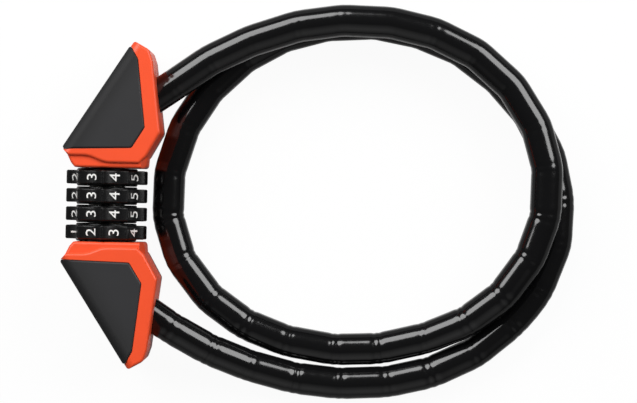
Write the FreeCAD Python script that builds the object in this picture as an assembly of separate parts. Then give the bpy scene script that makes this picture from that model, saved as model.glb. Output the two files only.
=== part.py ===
import FreeCAD
import Part
import math
import os

# Armoured combination cable lock, in millimetres.
#
# The lock lies on its back. X runs across the lock head towards the cable loop, Y runs
# along the dials' axis, and Z points up from the surface that it lies on. The origin is
# under the middle of the lock head: its two triangular cases and the dials between them.
#
# The upper case holds a steel barrel, and four dials turn on it. The lower case holds a
# locking pin, which slides into the barrel. Four lugs on the pin pass notches in the code
# rings only when all notches stand in line. The cable joins both cases in a long loop.

Vector = FreeCAD.Vector

# Fits and spare lengths that several pieces share
overcut = 1.0
same_place = 0.001
pin_fit = 0.02

# Case
case_thickness = 40.0
case_wall = 2.2
cover_thickness = 1.6
cover_proud = 0.5
seam_gap = 0.2
cover_gap = 0.12
skirt_drop = 1.6
edge_round = 1.3
tip_corner = 1.6
cover_round = 0.9
long_edge_radius = 5.0

# Outline of the upper case, from its left corner round by the dials to its tip. The corners
# are x, the height above the case's foot beside the dials and, for a corner that stays where
# it is, the radius that rounds it
corner_left = (-22.2, 8.75)
neck_left = (-20.0, 6.15, 2.0)
skirt_left = (-18.1, 2.15, 3.0)
skirt_foot = 1.8
foot_left_round = 1.0
skirt_right = 16.2
foot_right_round = 1.8
neck_right = (16.8, 5.45, 4.0)
corner_right = (23.1, 16.65, 2.6)
shoulder = (18.9, 49.95, 6.0)
tip_right = (17.2, 54.95, 3.0)
tip = (10.0, 58.95)

# Edge of the cover on the front, inside that outline: its tip lies on the long diagonal
cover_foot = 8.35
cover_foot_round = 1.2
cover_right_foot = (9.9, 9.3, 1.6)
cover_right = (15.8, 18.8, 1.6)
cover_shoulder = (12.15, 50.4, 3.0)
cover_tip = (8.5, 56.65, 1.1)

# Step between the plateau and the skirt beside the dials
step_left = (-19.3, 5.35)
step_bend = -10.0
step_run = 7.6
step_low = 2.25
step_radius = 14.0
step_right = 13.6

# Bevel that takes the front corner off the skirt's end on the cable's side
foot_bevel_width = 1.8
foot_bevel_height = 6.5

# Dials
axis_x = -2.5
dial_count = 4
dial_pitch = 8.55
dial_width = 6.4
dial_ridge_radius = 19.3
dial_waist_radius = 17.1
dial_facets = 10
dial_turn = 16.2
ridge_width = 0.9
dial_chamfer = 0.45
hub_radius = 14.2
stack_gap = 0.3

# Code rings
ring_radius = 12.0
ring_clearance = 0.06
ring_web = 3.45
ring_relief_radius = 10.75
ring_notch_width = 3.8
ring_key_width = 3.0
ring_key_height = 1.0
ring_key_root = 1.0
click_notch_radius = 0.7

# Barrel
barrel_radius = 8.5
barrel_bore_radius = 5.0
barrel_inside = 10.0
barrel_tail = 2.3
slot_width = 3.6
running_clearance = 0.08
end_ring_radius = 11.4
end_ring_thickness = 2.1

# Click spring in the barrel's back
click_groove_width = 3.2
click_groove_depth = 1.6
click_strip_width = 3.0
click_strip_thickness = 0.5
click_bump_radius = 1.2
click_floor_gap = 0.1

# Locking pin, with how far it goes into the upper and the lower case
pin_tip_depth = 3.25
pin_root_depth = 12.25
lug_width = 3.0
lug_length = 2.6
lug_radius = 10.2
lug_rest = 0.9
pin_chamfer = 1.0

# Carrier blocks and what is fixed in them
block_thickness = 24.0
block_gap = 0.1
cross_pin_radius = 1.5
barrel_pin_depth = 7.15
bolt_pin_depth = 8.25
pocket_clearance = 0.4

# Case screws, as x and the height above the case's foot
screw_spots = [(9.4, 47.75), (10.0, 14.95), (-14.0, 13.45)]
screw_radius = 1.5
screw_head_radius = 2.3
screw_head_height = 1.5
screw_socket_radius = 1.15
screw_grip_gap = 0.05
screw_hole_gap = 0.1
screw_end_gap = 0.4
boss_radius = 3.0

# Cable
cable_diameter = 15.0
sleeve_wall = 1.2
shell_radius = 5.6
shell_bore_radius = 4.2
armour_ring_radius = 5.9
armour_ring_width = 1.6
armour_rim_share = 0.35
armour_end_gap = 0.6
armour_gap = 0.2
rope_diameter = 6.0
arc_share = 0.45
exit_x = 19.8
exit_height = 33.95
exit_angle = 34.0
sleeve_inside = 8.0
cable_hole_gap = 0.25
parting_gap = 0.3
gap_step = 3.0

# Ferrules
ferrule_radius = 7.4
ferrule_length = 16.0
ferrule_floor = 5.0

# Worked out from the sizes above
axis_z = case_thickness / 2
stack_half = dial_count * dial_pitch / 2
foot_y = stack_half + stack_gap / 2
plateau_z = case_thickness - cover_proud
skirt_z = plateau_z - skirt_drop
recess_z = plateau_z - cover_thickness
cavity_z = recess_z - case_wall
block_front_z = axis_z + block_thickness / 2
block_back_z = axis_z - block_thickness / 2
cable_radius = cable_diameter / 2
sleeve_bore_radius = cable_radius - sleeve_wall
exit_way = Vector(math.cos(math.radians(exit_angle)), math.sin(math.radians(exit_angle)), 0)
exit_y = foot_y + exit_height
exit_point = Vector(exit_x, exit_y, axis_z)
screw_places = [(x, foot_y + height) for x, height in screw_spots]
pin_tip = foot_y + pin_tip_depth
pin_root = -(foot_y + pin_root_depth)
barrel_pin_place = (axis_x, foot_y + barrel_pin_depth)
bolt_pin_place = (axis_x, foot_y + bolt_pin_depth)
dial_places = [stack_half - dial_pitch * (0.5 + k) for k in range(dial_count)]
barrel_top = foot_y + barrel_inside
barrel_end = -(foot_y + barrel_tail)

# The cable's route: corners where one armour shell meets the next. It leaves the upper
# case, crosses the top and the right side on the upper layer, comes down to the floor and
# makes the inner loop, dives under its own start, runs along the top below the first pass,
# comes out at the right as the outer loop and goes into the lower case. Its Y values stand
# for exits at route_exit_y and go in proportion with them.
route_exit_y = 51.2
route_out = [
    (28.2, 57.0, 20.0), (44.3, 68.8, 21.4), (64.0, 78.4, 22.9), (84.9, 85.6, 23.4),
    (106.7, 88.9, 23.4), (128.6, 88.4, 23.4), (149.6, 83.9, 23.4), (170.0, 74.2, 23.4),
    (186.2, 60.1, 23.4), (198.7, 40.9, 23.4), (204.2, 20.9, 23.4), (203.9, -1.1, 22.8),
    (197.0, -21.3, 21.2), (185.1, -38.6, 18.6), (168.4, -51.9, 14.8), (148.6, -60.4, 9.2),
    (127.3, -65.8, 7.5), (105.4, -66.7, 7.5), (83.7, -63.2, 7.5), (63.3, -55.7, 7.5),
    (45.5, -43.0, 7.5), (31.9, -25.9, 7.5), (25.2, -5.1, 7.5), (25.8, 16.8, 7.5),
    (32.3, 37.6, 7.5), (44.0, 56.0, 7.5), (59.6, 70.9, 7.5), (78.4, 81.7, 7.5),
    (99.6, 87.5, 7.5), (121.5, 88.9, 7.5), (143.1, 84.8, 7.5), (163.5, 76.8, 7.5),
    (181.0, 63.6, 7.5), (195.8, 47.3, 7.5), (206.5, 28.2, 7.5), (211.2, 6.8, 7.5),
    (210.4, -15.1, 7.5), (202.9, -35.6, 7.5),
]
route_back = [
    (189.3, -52.9, 7.5), (172.1, -67.1, 7.5), (152.2, -76.6, 7.5), (130.8, -81.6, 7.5),
    (108.8, -82.7, 7.5), (87.0, -80.6, 7.5), (65.7, -74.9, 9.6), (46.4, -67.3, 15.2),
    (29.0, -57.4, 20.0),
]


def vec(point):
    return Vector(point[0], point[1], point[2])


def route_point(point):
    return Vector(point[0], point[1] * exit_y / route_exit_y, point[2])


def cross_point(a, b, c, d):
    """Where the line from a to b meets the line from c to d."""
    rx, ry = b[0] - a[0], b[1] - a[1]
    sx, sy = d[0] - c[0], d[1] - c[1]
    share = ((c[0] - a[0]) * sy - (c[1] - a[1]) * sx) / (rx * sy - ry * sx)
    return (a[0] + share * rx, a[1] + share * ry)


def outline_edges(corners):
    """Straight edges and tangent arcs through corners in a case, as a closed wire."""
    count = len(corners)
    starts, ends, middles = [], [], []
    places = [Vector(c[0], foot_y + c[1], 0) for c in corners]
    for k, here in enumerate(places):
        radius = corners[k][2]
        before = places[k - 1] - here
        after = places[(k + 1) % count] - here
        before.normalize()
        after.normalize()
        half = before.getAngle(after) / 2
        run = radius / math.tan(half)
        starts.append(here + before * run)
        ends.append(here + after * run)
        inward = (before + after).normalize()
        middles.append(here + inward * (radius / math.sin(half) - radius))
    edges = []
    for k in range(count):
        edges.append(Part.Arc(starts[k], middles[k], ends[k]).toShape())
        edges.append(Part.LineSegment(ends[k], starts[(k + 1) % count]).toShape())
    return Part.Wire(edges)


def prism(wire, low, high):
    face = Part.Face(wire)
    face.translate(Vector(0, 0, low))
    return face.extrude(Vector(0, 0, high - low))


def edges_at(shape, z):
    return [e for e in shape.Edges if all(abs(v.Z - z) < same_place for v in e.Vertexes)]


def rounded_top(solid, z, radius):
    return solid.makeFillet(radius, edges_at(solid, z))


def rod(radius, start, end, x=axis_x, z=axis_z):
    """A cylinder along Y."""
    return Part.makeCylinder(radius, end - start, Vector(x, start, z), Vector(0, 1, 0))


def peg(radius, low, high, place):
    """A cylinder along Z at an (x, y) place."""
    return Part.makeCylinder(radius, high - low, Vector(place[0], place[1], low))


def box(low, high):
    size = [b - a for a, b in zip(low, high)]
    return Part.makeBox(size[0], size[1], size[2], vec(low))


def chamfered_bar(radius, length, chamfer, y):
    """A round bar along Y with chamfered ends, centred at y."""
    half = length / 2
    profile = [
        (0, -half), (radius - chamfer, -half), (radius, -half + chamfer),
        (radius, half - chamfer), (radius - chamfer, half), (0, half),
    ]
    points = [Vector(axis_x + r, y + h, axis_z) for r, h in profile]
    wire = Part.makePolygon(points + points[:1])
    return Part.Face(wire).revolve(Vector(axis_x, 0, axis_z), Vector(0, 1, 0), 360)


def lower(shape):
    """The same piece in the lower case."""
    return shape.mirror(Vector(0, 0, 0), Vector(0, 1, 0))


def back(shape):
    """The same piece in the back half of its case."""
    return shape.mirror(Vector(0, 0, axis_z), Vector(0, 0, 1))


# Cases and covers

def diagonal(shift):
    """Left corner and tip of the outline, with the long diagonal moved outwards."""
    along = Vector(tip[0] - corner_left[0], tip[1] - corner_left[1], 0).normalize()
    out = Vector(-along.y, along.x, 0) * shift
    a = (corner_left[0] + out.x, corner_left[1] + out.y)
    b = (tip[0] + out.x, tip[1] + out.y)
    return cross_point(a, b, neck_left, corner_left), cross_point(a, b, tip_right, tip)


def case_top(shift):
    """Corners from the neck by the dials up the cable's side to the tip and the left."""
    left, top = diagonal(shift)
    return [
        neck_right, corner_right, shoulder, tip_right,
        (top[0], top[1], tip_corner), (left[0], left[1], tip_corner),
    ]


def case_wire(shift=0.0):
    return outline_edges([
        neck_left, skirt_left, (skirt_left[0] + skirt_foot, 0, foot_left_round),
        (skirt_right, 0, foot_right_round),
    ] + case_top(shift))


def plateau_wire():
    """The front's raised part: its edge beside the dials is a long S."""
    return outline_edges([
        (step_left[0], step_left[1], tip_corner), (step_bend, step_left[1], step_radius),
        (step_bend + step_run, step_low, step_radius), (step_right, step_low, tip_corner),
    ] + case_top(0.0))


def foot_bevel():
    """What a slanted plane cuts off the skirt's end on the cable's side."""
    near = skirt_right - foot_bevel_width
    far = skirt_right + foot_bevel_width
    points = [
        Vector(near, 0, skirt_z), Vector(far, 0, skirt_z - 2 * foot_bevel_height),
        Vector(far, 0, skirt_z),
    ]
    face = Part.Face(Part.makePolygon(points + points[:1]))
    return face.extrude(Vector(0, foot_y + neck_right[1], 0))


def long_edge(proud):
    """What the large rounding along the long diagonal takes off the front, for a surface
    that stands this far proud of the case."""
    (left_x, left_y), (top_x, top_y) = diagonal(proud)
    along = Vector(top_x - left_x, top_y - left_y, 0).normalize()
    inward = Vector(along.y, -along.x, 0)
    radius = long_edge_radius - cover_proud + proud
    start = Vector(left_x, foot_y + left_y, plateau_z + proud) - along * long_edge_radius
    on_top = start + inward * radius
    on_side = start - Vector(0, 0, radius)
    middle = on_top - Vector(0, 0, radius) + (Vector(0, 0, 1) - inward) * (radius / math.sqrt(2))
    above = Vector(0, 0, overcut)
    outside = inward * -overcut
    edges = [
        Part.Arc(on_top, middle, on_side).toShape(),
        Part.LineSegment(on_side, on_side + outside).toShape(),
        Part.LineSegment(on_side + outside, start + outside + above).toShape(),
        Part.LineSegment(start + outside + above, on_top + above).toShape(),
        Part.LineSegment(on_top + above, on_top).toShape(),
    ]
    length = math.dist((left_x, left_y), (top_x, top_y)) + 2 * long_edge_radius
    return Part.Face(Part.Wire(edges)).extrude(along * length)


def case_body():
    """The front half of the upper case as a full block with rounded edges."""
    low = axis_z + seam_gap / 2
    skirt = rounded_top(prism(case_wire(), low, skirt_z), skirt_z, edge_round)
    skirt = skirt.cut(foot_bevel())
    plateau = rounded_top(prism(plateau_wire(), low, plateau_z), plateau_z, edge_round)
    return skirt.fuse(plateau).removeSplitter().cut(long_edge(0.0))


def moved(corner, right, up):
    return (corner[0] + right, corner[1] + up, corner[2])


def cover_wire(grow=0.0):
    """Outline of a cover, which laps over the long diagonal of its case."""
    left, top = diagonal(cover_proud + grow)
    foot = cover_foot - grow
    on_left = cross_point(left, top, (0, foot), (1, foot))
    right_foot = moved(cover_right_foot, grow / 2, -grow)
    shoulder_corner = moved(cover_shoulder, grow, 0)
    on_tip = cross_point(left, top, shoulder_corner, moved(cover_tip, grow, grow / 2))
    return outline_edges([
        (on_left[0], on_left[1], cover_foot_round), right_foot, moved(cover_right, grow, 0),
        shoulder_corner, (on_tip[0], on_tip[1], cover_tip[2]),
    ])


def cover_core():
    """What a cover leaves free for its case."""
    return prism(case_wire(-cover_thickness), -overcut, recess_z)


def cover():
    low = axis_z + seam_gap / 2
    whole = rounded_top(prism(cover_wire(), low, case_thickness), case_thickness, cover_round)
    return whole.cut(long_edge(cover_proud)).cut(cover_core())


def cavity(inset, low, high):
    """The room inside a case, drawn in from the recess for the cover."""
    face = Part.Face(case_wire(-cover_thickness))
    inner = face.makeOffset2D(-inset)
    inner.translate(Vector(0, 0, low))
    return inner.extrude(Vector(0, 0, high - low))


def cable_rod(radius, inside, outside):
    start = exit_point - exit_way * inside
    return Part.makeCylinder(radius, inside + outside, start, exit_way)


def case_shell():
    """Half a case as a moulded shell, with its recess, its room and its cable hole."""
    shell = case_body()
    pocket = prism(cover_wire(cover_gap), 0, 2 * case_thickness).cut(cover_core())
    shell = shell.cut(pocket)
    shell = shell.cut(cavity(case_wall, 0, cavity_z))
    hole_radius = cable_radius + cable_hole_gap
    return shell.cut(cable_rod(hole_radius, 2 * sleeve_inside, 2 * cable_diameter))


def front_frame(opening_radius):
    shell = case_shell()
    for place in screw_places:
        shell = shell.fuse(peg(boss_radius, block_front_z, cavity_z, place))
    for place in screw_places:
        shell = shell.cut(peg(screw_radius + screw_grip_gap, 0, cavity_z, place))
    shell = shell.cut(rod(opening_radius, 0, foot_y + case_wall + overcut))
    return shell.removeSplitter()


def rear_frame(opening_radius):
    shell = back(case_shell())
    floor = case_thickness - cavity_z
    skin = case_thickness - recess_z
    for place in screw_places:
        shell = shell.fuse(peg(boss_radius, floor, block_back_z, place))
    for place in screw_places:
        shell = shell.cut(peg(screw_radius + screw_hole_gap, 0, axis_z, place))
        head_room = peg(screw_head_radius + screw_hole_gap, 0, skin + screw_head_height, place)
        shell = shell.cut(head_room)
    shell = shell.cut(rod(opening_radius, 0, foot_y + case_wall + overcut))
    return shell.removeSplitter()


def case_screws():
    """Three screws, put in from the back under the rear cover."""
    head_low = case_thickness - recess_z
    screws = []
    for place in screw_places:
        head_top = head_low + screw_head_height
        head = peg(screw_head_radius, head_low, head_top, place)
        shank = peg(screw_radius, head_top, cavity_z - screw_end_gap, place)
        socket = peg(screw_socket_radius, 0, head_low + screw_head_height / 2, place)
        screws.append(head.fuse(shank).removeSplitter().cut(socket))
    return Part.makeCompound(screws)


# Carrier blocks, barrel and locking pin

def block(bore_radius, bore_end, pocket_end):
    """A die-cast carrier that fills the middle of a case."""
    body = cavity(case_wall + block_gap, block_back_z, block_front_z)
    body = body.cut(rod(bore_radius, 0, bore_end))
    body = body.cut(rod(end_ring_radius + pocket_clearance, 0, pocket_end))
    depth = sleeve_inside + ferrule_length
    body = body.cut(cable_rod(cable_radius + block_gap, depth, 2 * cable_diameter))
    for place in screw_places:
        body = body.cut(peg(screw_radius + screw_hole_gap, 0, case_thickness, place))
    return body.cut(pin_hole(ferrule_pin_place()))


def cross_pin(place):
    return peg(cross_pin_radius, block_back_z, block_front_z, place)


def pin_hole(place):
    return peg(cross_pin_radius + pin_fit, block_back_z, block_front_z, place)


def ferrule_pin_place():
    middle = exit_point - exit_way * (sleeve_inside + ferrule_length - ferrule_floor / 2)
    return (middle.x, middle.y)


def barrel_block():
    body = block(barrel_radius + block_gap / 2, barrel_top + block_gap, 0)
    return body.cut(pin_hole(barrel_pin_place))


def bolt_block():
    pocket = foot_y + barrel_tail + pocket_clearance
    body = block(barrel_bore_radius, block_gap - pin_root, pocket)
    return lower(body.cut(pin_hole(bolt_pin_place)))


def lug_slot(end):
    half = slot_width / 2
    low = (axis_x - half, barrel_end - overcut, axis_z)
    return box(low, (axis_x + half, end, case_thickness))


def barrel_tube():
    tube = rod(barrel_radius, barrel_end, barrel_top)
    tube = tube.cut(rod(barrel_bore_radius, barrel_end - overcut, barrel_top + overcut))
    groove_floor = axis_z - barrel_radius + click_groove_depth
    half = click_groove_width / 2
    groove = box((axis_x - half, -stack_half, 0), (axis_x + half, stack_half, groove_floor))
    tube = tube.cut(lug_slot(stack_half)).cut(groove)
    return tube.cut(pin_hole(barrel_pin_place))


def barrel_end_ring():
    """The collar on the barrel's end that keeps the dials on."""
    ring = rod(end_ring_radius, -foot_y - end_ring_thickness, -foot_y)
    ring = ring.cut(rod(barrel_radius, barrel_end - overcut, 0))
    return ring.cut(lug_slot(0))


def click_spring():
    """A strip in the barrel's back groove, with one hump for each dial."""
    floor = axis_z - barrel_radius + click_groove_depth
    half = click_strip_width / 2
    end = stack_half - stack_gap
    strip = box((axis_x - half, -end, floor - click_strip_thickness), (axis_x + half, end, floor))
    centre = axis_z - barrel_radius + click_floor_gap + click_bump_radius
    for y in web_middles():
        side = Vector(axis_x - half, y, centre)
        bump = Part.makeCylinder(click_bump_radius, click_strip_width, side, Vector(1, 0, 0))
        strip = strip.fuse(bump)
    room = box((axis_x - half, -stack_half, 0), (axis_x + half, stack_half, floor))
    return strip.common(room).removeSplitter()


def web_middles():
    return [y - dial_pitch / 2 + stack_gap / 2 + ring_web / 2 for y in dial_places]


def locking_pin():
    radius = barrel_bore_radius - running_clearance
    pin = rod(radius, pin_root, pin_tip)
    tip_edges = [e for e in pin.Edges if all(abs(v.Y - pin_tip) < same_place for v in e.Vertexes)]
    pin = pin.makeChamfer(pin_chamfer, tip_edges)
    half = lug_width / 2
    disc_room = rod(lug_radius, -case_thickness, case_thickness)
    for y in web_middles():
        low = y + ring_web / 2 + lug_rest
        lug = box((axis_x - half, low, axis_z), (axis_x + half, low + lug_length, case_thickness))
        pin = pin.fuse(lug.common(disc_room))
    return pin.cut(lower(pin_hole(bolt_pin_place))).removeSplitter()


# Dials and code rings

def dial_point(y, radius, turn):
    """A point on the near face of the dial at y, by its radius and its turn in degrees."""
    x = axis_x + radius * math.cos(math.radians(turn))
    z = axis_z + radius * math.sin(math.radians(turn))
    return Vector(x, y - dial_width / 2, z)


def dial(y):
    """A dial with ten hollow facets between ridges, chamfered rims and a round hub."""
    step = 360.0 / dial_facets
    half_ridge = math.degrees(math.asin(ridge_width / 2 / dial_ridge_radius))
    edges = []
    for k in range(dial_facets):
        turn = 90 - dial_turn + step * k
        start = dial_point(y, dial_ridge_radius, turn - step / 2 + half_ridge)
        end = dial_point(y, dial_ridge_radius, turn + step / 2 - half_ridge)
        ridge_end = dial_point(y, dial_ridge_radius, turn + step / 2 + half_ridge)
        edges.append(Part.Arc(start, dial_point(y, dial_waist_radius, turn), end).toShape())
        edges.append(Part.LineSegment(end, ridge_end).toShape())
    rim = Part.Face(Part.Wire(edges)).extrude(Vector(0, dial_width, 0))
    rims = [e for e in rim.Edges if abs(e.Vertexes[0].Y - e.Vertexes[-1].Y) < same_place]
    rim = rim.makeChamfer(dial_chamfer, rims)
    hub = chamfered_bar(hub_radius, dial_pitch - stack_gap, dial_chamfer, y)
    body = rim.fuse(hub)
    body = body.cut(rod(ring_radius + ring_clearance, y - dial_pitch, y + dial_pitch))
    return body.cut(ring_key(y, ring_clearance)).removeSplitter()


def ring_key(y, grow):
    half = ring_key_width / 2 + grow
    long = dial_pitch / 2 + grow
    reach = ring_radius + ring_key_height + grow
    low = ring_radius - ring_key_root
    return box((axis_x + low, y - long, axis_z - half), (axis_x + reach, y + long, axis_z + half))


def code_ring(y):
    """The ring inside a dial: its web carries the notch that a lug has to pass."""
    low = y - dial_pitch / 2 + stack_gap / 2
    high = y + dial_pitch / 2 - stack_gap / 2
    ring = rod(ring_radius, low, high).fuse(ring_key(y, -stack_gap / 2))
    ring = ring.cut(rod(barrel_radius + running_clearance, low - overcut, high + overcut))
    ring = ring.cut(rod(ring_relief_radius, low + ring_web, high + overcut))
    half = ring_notch_width / 2
    notch_top = (axis_x + half, high + overcut, axis_z + ring_relief_radius)
    notch = box((axis_x - half, low - overcut, axis_z), notch_top)
    ring = ring.cut(notch.common(rod(ring_relief_radius, low - overcut, high + overcut)))
    reach = barrel_radius + running_clearance
    for k in range(dial_facets):
        turn = math.radians(-90 + 360.0 / dial_facets * k)
        x = axis_x + reach * math.cos(turn)
        z = axis_z + reach * math.sin(turn)
        ring = ring.cut(rod(click_notch_radius, low - overcut, high + overcut, x, z))
    return ring.removeSplitter()


# Cable

def ferrule():
    """A crimped steel cup on the rope's end, behind the sleeve."""
    start = exit_point - exit_way * (sleeve_inside + ferrule_length)
    cup = Part.makeCylinder(ferrule_radius, ferrule_length - block_gap, start, exit_way)
    bore_start = start + exit_way * ferrule_floor
    cup = cup.cut(Part.makeCylinder(rope_diameter / 2, ferrule_length, bore_start, exit_way))
    return cup.cut(pin_hole(ferrule_pin_place()))


def rope_start(side):
    """The rope's end in the ferrule, and the sleeve's end at the ferrule's mouth."""
    deep = exit_point - exit_way * (sleeve_inside + ferrule_length - ferrule_floor)
    mouth = exit_point - exit_way * sleeve_inside
    if side < 0:
        deep = Vector(deep.x, -deep.y, deep.z)
        mouth = Vector(mouth.x, -mouth.y, mouth.z)
    return deep, mouth


def corner_arcs(points):
    """For each inner corner: arc start, point on the arc, arc end, radius and half turn."""
    arcs = []
    for before, here, after in zip(points, points[1:], points[2:]):
        come = before - here
        go = after - here
        length = arc_share * min(come.Length, go.Length)
        come.normalize()
        go.normalize()
        half_turn = (math.pi - come.getAngle(go)) / 2
        radius = length / math.tan(half_turn)
        inward = (come + go).normalize()
        middle = here + inward * (radius / math.cos(half_turn) - radius)
        arcs.append((here + come * length, middle, here + go * length, radius, half_turn))
    return arcs


def path_wire(start, arcs, end):
    edges = []
    here = start
    for arc in arcs:
        edges.append(Part.LineSegment(here, arc[0]).toShape())
        edges.append(Part.Arc(arc[0], arc[1], arc[2]).toShape())
        here = arc[2]
    edges.append(Part.LineSegment(here, end).toShape())
    return Part.Wire(edges)


def tube(wire, radius, bore_radius=0.0):
    """A round bar or tube along the path."""
    start = wire.Vertexes[0].Point
    way = wire.Vertexes[1].Point - start
    outer = Part.Wire(Part.makeCircle(radius, start, way))
    solid = wire.makePipeShell([outer], True)
    area = math.pi * radius ** 2
    if bore_radius:
        inner = Part.Wire(Part.makeCircle(bore_radius, start, way))
        solid = solid.cut(wire.makePipeShell([inner], True))
        area -= math.pi * bore_radius ** 2
    print("  volume over section times length:", round(solid.Volume / (area * wire.Length), 4))
    return solid


def armour_piece(centre, way, radius, bore, length):
    """A short tube with rounded rims, centred on a point and facing along way."""
    rim = (radius - bore) * armour_rim_share
    half = length / 2
    profile = [
        (bore, -half), (radius - rim, -half), (radius, -half + rim),
        (radius, half - rim), (radius - rim, half), (bore, half),
    ]
    points = [Vector(r, 0, h) for r, h in profile]
    face = Part.Face(Part.makePolygon(points + points[:1]))
    piece = face.revolve(Vector(0, 0, 0), Vector(0, 0, 1), 360)
    piece.Placement = FreeCAD.Placement(centre, FreeCAD.Rotation(Vector(0, 0, 1), way))
    return piece


def armour(corners, arcs, first_joint, last_joint):
    """Straight shells from joint to joint, and a ring in each joint between them."""
    joints = [(c + a[1]) * 0.5 for c, a in zip(corners, arcs)]
    spots = [first_joint] + joints + [last_joint]
    half_ring = armour_ring_width / 2
    bends = [half_ring + shell_radius * math.tan(a[4]) + armour_gap for a in arcs]
    gaps = [armour_end_gap] + bends + [armour_end_gap]
    shells = []
    for k in range(len(spots) - 1):
        way = spots[k + 1] - spots[k]
        length = way.Length - gaps[k] - gaps[k + 1]
        way.normalize()
        centre = spots[k] + way * (gaps[k] + length / 2)
        shells.append(armour_piece(centre, way, shell_radius, shell_bore_radius, length))
    rings = []
    for a in arcs:
        ring = armour_piece(
            a[1], a[2] - a[0], armour_ring_radius, shell_bore_radius, armour_ring_width
        )
        rings.append(ring)
    return Part.makeCompound(shells), Part.makeCompound(rings)


def least_gap(wire):
    """Least room between turns of the cable, on points along its middle line."""
    count = int(wire.Length / gap_step)
    points = wire.discretize(Number=count)
    near = int(4 * cable_diameter / gap_step)
    least = min(
        (points[i] - points[j]).Length for i in range(count) for j in range(i + near, count)
    )
    return least - cable_diameter


def cable():
    """All cable pieces: the main stretch from the upper case, and the tail in the lower."""
    deep_out, mouth_out = rope_start(1)
    deep_back, mouth_back = rope_start(-1)
    out = [route_point(p) for p in route_out]
    home = [route_point(p) for p in route_back]
    corners = [mouth_out] + out + home + [mouth_back]
    arcs = corner_arcs(corners)
    parting = (out[-1] + home[0]) * 0.5
    apart = (home[0] - out[-1]).normalize() * (parting_gap / 2)
    main_end = parting - apart
    tail_start = parting + apart
    split = len(out)
    print("cable radii:", [round(a[3]) for a in arcs])
    whole = path_wire(mouth_out, arcs, mouth_back)
    print("cable length:", round(whole.Length, 1), "least gap:", round(least_gap(whole), 2))
    pieces = {}
    for name, part_arcs, part_corners, ends, rope_ends in (
        ("", arcs[:split], out, (mouth_out, main_end), (deep_out, main_end)),
        ("_tail", arcs[split:], home, (tail_start, mouth_back), (tail_start, deep_back)),
    ):
        sleeve_wire = path_wire(ends[0], part_arcs, ends[1])
        rope_wire = path_wire(rope_ends[0], part_arcs, rope_ends[1])
        pieces["cable_sleeve" + name] = tube(sleeve_wire, cable_radius, sleeve_bore_radius)
        pieces["steel_rope" + name] = tube(rope_wire, rope_diameter / 2)
        shells, rings = armour(part_corners, part_arcs, ends[0], ends[1])
        pieces["armour_shells" + name] = shells
        pieces["armour_rings" + name] = rings
    return pieces


def build():
    tube_hole = barrel_radius + 2 * block_gap
    ring_hole = end_ring_radius + pocket_clearance
    parts = {
        "upper_front_frame": front_frame(tube_hole),
        "upper_rear_frame": rear_frame(tube_hole),
        "lower_front_frame": lower(front_frame(ring_hole)),
        "lower_rear_frame": lower(rear_frame(ring_hole)),
        "upper_front_cover": cover(),
        "upper_rear_cover": back(cover()),
        "lower_front_cover": lower(cover()),
        "lower_rear_cover": lower(back(cover())),
        "upper_case_screws": case_screws(),
        "lower_case_screws": lower(case_screws()),
        "barrel_block": barrel_block(),
        "bolt_block": bolt_block(),
        "barrel_tube": barrel_tube(),
        "barrel_end_ring": barrel_end_ring(),
        "click_spring": click_spring(),
        "locking_pin": locking_pin(),
        "upper_ferrule": ferrule(),
        "lower_ferrule": lower(ferrule()),
        "barrel_cross_pin": cross_pin(barrel_pin_place),
        "bolt_cross_pin": lower(cross_pin(bolt_pin_place)),
        "upper_ferrule_pin": cross_pin(ferrule_pin_place()),
        "lower_ferrule_pin": lower(cross_pin(ferrule_pin_place())),
    }
    for k, y in enumerate(dial_places):
        parts[f"dial_{k + 1}"] = dial(y)
        parts[f"code_ring_{k + 1}"] = code_ring(y)
    parts.update(cable())
    return parts


os.makedirs("parts", exist_ok=True)
for name, shape in build().items():
    shape.exportStep(f"parts/{name}.step")
    print(name, len(shape.Solids), "solids, volume", round(shape.Volume), "valid", shape.isValid())
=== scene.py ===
import math

import bpy
from mathutils import Matrix, Vector


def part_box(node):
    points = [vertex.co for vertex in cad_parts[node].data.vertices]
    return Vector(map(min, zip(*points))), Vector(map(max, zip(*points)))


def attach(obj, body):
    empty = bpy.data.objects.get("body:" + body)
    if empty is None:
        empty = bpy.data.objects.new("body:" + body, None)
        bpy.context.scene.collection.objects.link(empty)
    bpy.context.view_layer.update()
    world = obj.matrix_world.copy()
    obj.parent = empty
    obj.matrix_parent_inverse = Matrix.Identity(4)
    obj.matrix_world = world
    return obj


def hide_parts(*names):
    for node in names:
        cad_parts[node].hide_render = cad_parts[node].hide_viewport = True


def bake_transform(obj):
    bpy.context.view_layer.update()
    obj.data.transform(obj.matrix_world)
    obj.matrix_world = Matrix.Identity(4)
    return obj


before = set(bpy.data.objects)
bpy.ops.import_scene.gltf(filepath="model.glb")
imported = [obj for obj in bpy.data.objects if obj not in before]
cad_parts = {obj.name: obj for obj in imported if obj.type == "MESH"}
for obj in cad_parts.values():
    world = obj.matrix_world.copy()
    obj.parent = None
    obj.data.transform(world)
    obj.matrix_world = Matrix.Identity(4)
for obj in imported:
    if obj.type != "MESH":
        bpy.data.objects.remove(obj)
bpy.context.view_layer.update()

bl_info = {
    "name": "Armoured cable lock",
    "version": (1, 0, 0),
    "blender": (4, 5, 0),
    "location": "View3D > Sidebar > Cable lock",
    "description": "Dresses an armoured combination cable lock: sleeve, rope, numerals, finishes",
    "category": "Object",
}

MM = 0.001

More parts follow.
